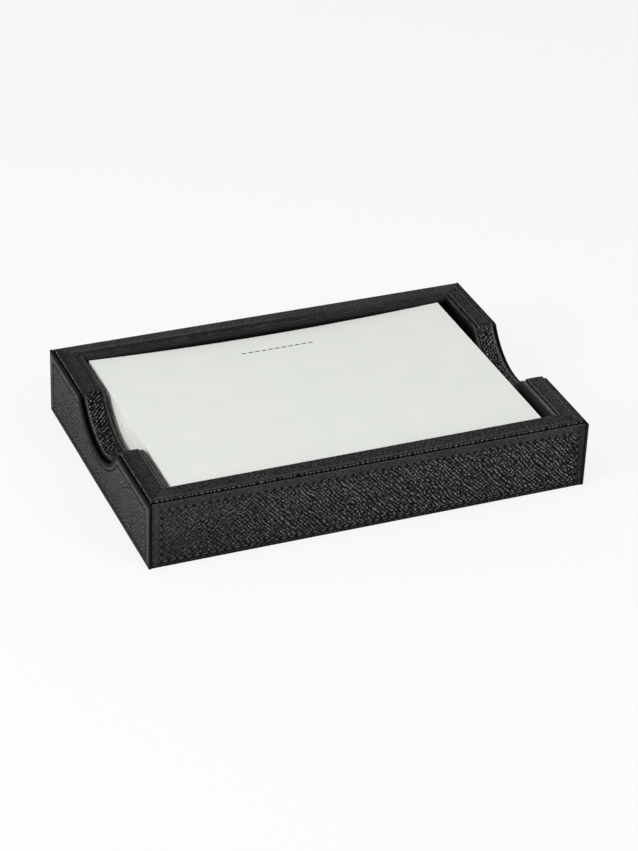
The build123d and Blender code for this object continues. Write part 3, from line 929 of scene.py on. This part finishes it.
def add_pad(name, half_x, half_y, foot, top, material, nodes, seed):
    """A thin level sheet with rounded edges and faintly uneven faces."""
    edge, step, unevenness = 0.3, 2.0, 0.06
    noise = Noise(seed)
    columns, lines = int(2 * half_x / step) + 1, int(2 * half_y / step) + 1
    x, y = np.meshgrid(np.linspace(-1, 1, columns), np.linspace(-1, 1, lines))
    index = np.arange(columns * lines).reshape(lines, columns)

    def face_points(level, inwards):
        px, py = x * (half_x - edge), y * (half_y - edge)
        fade = smooth(0, 2 * step, np.minimum(half_x - np.abs(px), half_y - np.abs(py)))
        rise = np.clip(0.5 + 0.5 * noise.layers(px / 12, py / 12), 0, 1)
        return np.stack([px, py, level + inwards * unevenness * fade * rise], -1).reshape(-1, 3)

    points = [face_points(foot, 1), face_points(top, -1)]
    quads = np.stack([index[:-1, :-1], index[:-1, 1:], index[1:, 1:], index[1:, :-1]], -1).reshape(-1, 4)
    faces = quads[:, ::-1].tolist() + (quads + index.size).tolist()

    # Rings of points from the edge of the lower face to that of the upper one
    border = np.concatenate([index[0], index[1:, -1], index[-1, -2::-1], index[-2:0:-1, 0]])
    px, py, bevel = x.ravel()[border], y.ravel()[border], 0.3 * edge
    rings = [border]
    for inset, level in ((bevel, foot + bevel), (0, foot + edge), (0, top - edge), (bevel, top - bevel)):
        rings.append(sum(map(len, points)) + np.arange(len(border)))
        points.append(np.stack([px * (half_x - inset), py * (half_y - inset), level + 0 * px], -1))
    rings.append(border + index.size)
    for low, high in zip(rings, rings[1:]):
        faces += np.stack([low, np.roll(low, -1), np.roll(high, -1), high], -1).tolist()

    points = np.concatenate(points)
    to_edge = np.minimum(half_x - np.abs(points[:, 0]), half_y - np.abs(points[:, 1]))
    marks = {"leather_place": points, "wear_and_highlight": 0.4 * smooth(0.4, 0.0, to_edge), "shade_and_tone": 1 + 0 * to_edge}
    add_piece(name, points, faces, material, "tray", nodes, marks)


cover_inset = PANEL_THICKNESS + BASE_COVER_GAP
add_pad("base_sheet", TRAY_LENGTH / 2 - cover_inset, TRAY_DEPTH / 2 - cover_inset, 0, BASE_COVER_THICKNESS,
        base_leather, ["base_cover"], 401)
add_pad("floor_sheet", TRAY_LENGTH / 2 - WRAP_INSIDE, TRAY_DEPTH / 2 - WRAP_INSIDE,
        WALL_FOOT + BASE_BOARD_THICKNESS, FLOOR_TOP, lining_leather, ["floor_lining"], 402)


# Cards

CARD_LEFT = LINING_INSIDE - TRAY_LENGTH / 2 + CARD_GAP_LEFT
CARD_RIGHT = TRAY_LENGTH / 2 - LINING_INSIDE - CARD_GAP_RIGHT
CARD_FRONT = LINING_INSIDE - TRAY_DEPTH / 2 + CARD_GAP_FRONT
CARD_BACK = TRAY_DEPTH / 2 - LINING_INSIDE - CARD_GAP_BACK


def card_sheet(foot, bow, shift_x, shift_y, turn, lines):
    """Points and faces of one bowed sheet: its end view, a closed loop, swept along a few lines."""
    edge = 0.04
    half, middle = (CARD_RIGHT - CARD_LEFT) / 2, (CARD_RIGHT + CARD_LEFT) / 2
    mid_y = (CARD_FRONT + CARD_BACK) / 2
    u = np.linspace(-half + edge, half - edge, 33)
    loop_x = np.concatenate([u, [half, half], u[::-1], [-half, -half]])
    low, high = edge, CARD_THICKNESS - edge
    loop_z = np.concatenate([0 * u, [low, high], CARD_THICKNESS + 0 * u, [high, low]])
    loop_z = loop_z + bow * (loop_x / half) ** 2
    x, y = np.meshgrid(loop_x, np.linspace(CARD_FRONT, CARD_BACK, lines) - mid_y, indexing="ij")
    px = middle + shift_x + x * np.cos(turn) - y * np.sin(turn)
    py = mid_y + shift_y + y * np.cos(turn) + x * np.sin(turn)
    pz = foot + np.repeat(loop_z[:, None], lines, 1)
    return np.stack([px, py, pz], -1).reshape(-1, 3), loop_faces(len(loop_x), lines)


def add_cards():
    """The stack of loose sheets, each a little out of line, and the loose card on top."""
    rng = np.random.RandomState(501)
    step = CARD_THICKNESS + CARD_AIR
    points, sizes, corners = [], [], []
    for number in range(CARD_COUNT):
        bow = CARD_BOW * number / (CARD_COUNT - 1)
        shift_x, shift_y = rng.uniform(-0.1, 0.1), rng.uniform(-0.1, 0.05)
        turn = rng.uniform(-0.0007, 0.0007)
        sheet, faces = card_sheet(FLOOR_TOP + number * step, bow, shift_x, shift_y, turn, 5)
        points.append(sheet)
        sizes.append(faces[0])
        corners.append(faces[1] + number * len(sheet))
    points, sizes, corners = map(np.concatenate, (points, sizes, corners))
    add_piece("card_sheets", points, (sizes, corners), card, "card_stack", ["memo_cards"],
              rounded=False)
    top_foot = FLOOR_TOP + CARD_COUNT * step - CARD_AIR + LOOSE_CARD_GAP
    sheet, faces = card_sheet(top_foot, CARD_BOW, 0, 0, 0, 9)
    add_piece("loose_sheet", sheet, faces, printed_card, "loose_card", ["top_card"], rounded=False)


add_cards()

# CAD nodes that keep their own shape get their materials
for name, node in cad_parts.items():
    for ending, material in (("wall_core", board), ("base_board", board), ("lining_board", lining_board)):
        if name.endswith(ending):
            node.data.materials.clear()
            node.data.materials.append(material)


# Floor, light and camera, in metres


def add_floor():
    """A wide pale floor that stays white for the camera but keeps the tray's shadow."""
    reach, whiteness = 3.0, 0.8
    mesh = bpy.data.meshes.new("floor")
    corners = [(-reach, -reach, 0), (reach, -reach, 0), (reach, reach, 0), (-reach, reach, 0)]
    mesh.from_pydata(corners, [], [(0, 1, 2, 3)])
    floor = bpy.data.objects.new("floor", mesh)
    bpy.context.scene.collection.objects.link(floor)
    n = Nodes("floor")
    mesh.materials.append(n.finish(grey(0.82), 0.9, 0.1))
    glow = add_node(n.nodes, "ShaderNodeEmission", {"Color": (1, 1, 1, 1), "Strength": 1.0})
    rays = add_node(n.nodes, "ShaderNodeLightPath").outputs
    seen = n.math("MAXIMUM", rays["Is Camera Ray"], rays["Is Glossy Ray"])
    seen = n.math("MULTIPLY", n.math("MAXIMUM", seen, rays["Is Transmission Ray"]), whiteness)
    blend = add_node(n.nodes, "ShaderNodeMixShader")
    n.join(seen, blend.inputs[0])
    n.join(n.nodes["Principled BSDF"].outputs[0], blend.inputs[1])
    n.join(glow.outputs[0], blend.inputs[2])
    n.join(blend.outputs[0], n.nodes["Material Output"].inputs["Surface"])


# Heights are sines of the angle above the horizon, and the ceiling's last value is its strength
BACKDROP_TOP, CEILING_FOOT, CEILING = 0.12, 0.4, 0.36


def add_world():
    """Plain surroundings: a white backdrop up to a low height, softer grey above it."""
    world = bpy.data.worlds.new("world")
    bpy.context.scene.world = world
    world.use_nodes = True
    nodes, links = world.node_tree.nodes, world.node_tree.links
    where, split = add_node(nodes, "ShaderNodeTexCoord"), add_node(nodes, "ShaderNodeSeparateXYZ")
    ends = {"From Min": BACKDROP_TOP, "From Max": CEILING_FOOT, "To Min": 1.0, "To Max": CEILING}
    fade = add_node(nodes, "ShaderNodeMapRange", ends)
    fade.interpolation_type = "SMOOTHSTEP"
    sky = nodes["Background"].inputs
    sky["Color"].default_value = (1, 1, 1, 1)
    links.new(where.outputs["Generated"], split.inputs[0])
    links.new(split.outputs["Z"], fade.inputs["Value"])
    links.new(fade.outputs["Result"], sky["Strength"])


def add_lamp(name, place, size, power):
    """A soft square lamp that looks at the tray."""
    data = bpy.data.lights.new(name, "AREA")
    data.shape = "SQUARE"
    data.size = size
    data.energy = power
    lamp = bpy.data.objects.new(name, data)
    bpy.context.scene.collection.objects.link(lamp)
    lamp.location = place
    lamp.rotation_euler = (Vector((0, 0, 0.01)) - Vector(place)).to_track_quat("-Z", "Y").to_euler()


# The camera of the photograph, fitted to it: lengths in its pixels, sensor in millimetres
PHOTO_HEIGHT, FOCAL_LENGTH, SENSOR = 851, 2647.77, 36


def add_camera():
    """The photograph's camera: from the front left and above, slightly rolled."""
    right = Vector((0.92618, -0.37555, 0.03398))
    down = Vector((-0.16804, -0.49172, -0.85438))
    forward = Vector((0.33757, 0.78560, -0.51853))
    data = bpy.data.cameras.new("camera")
    camera = bpy.data.objects.new("camera", data)
    bpy.context.scene.collection.objects.link(camera)
    turn = Matrix((right, -down, -forward)).transposed().to_4x4()
    turn.translation = Vector((-0.37862, -0.88710, 0.59547))
    camera.matrix_world = turn
    data.sensor_width = SENSOR
    data.lens = FOCAL_LENGTH * SENSOR / PHOTO_HEIGHT
    data.clip_start = 0.05
    bpy.context.scene.camera = camera


add_floor()
add_world()
add_lamp("left_lamp", (-0.85, -0.25, 0.55), 0.3, 3.75)
add_lamp("right_lamp", (0.45, -0.85, 0.6), 0.3, 3.0)
add_lamp("top_lamp", (-0.25, -0.1, 1.2), 0.7, 4.7)
add_camera()
bpy.context.scene.view_settings.view_transform = "Standard"
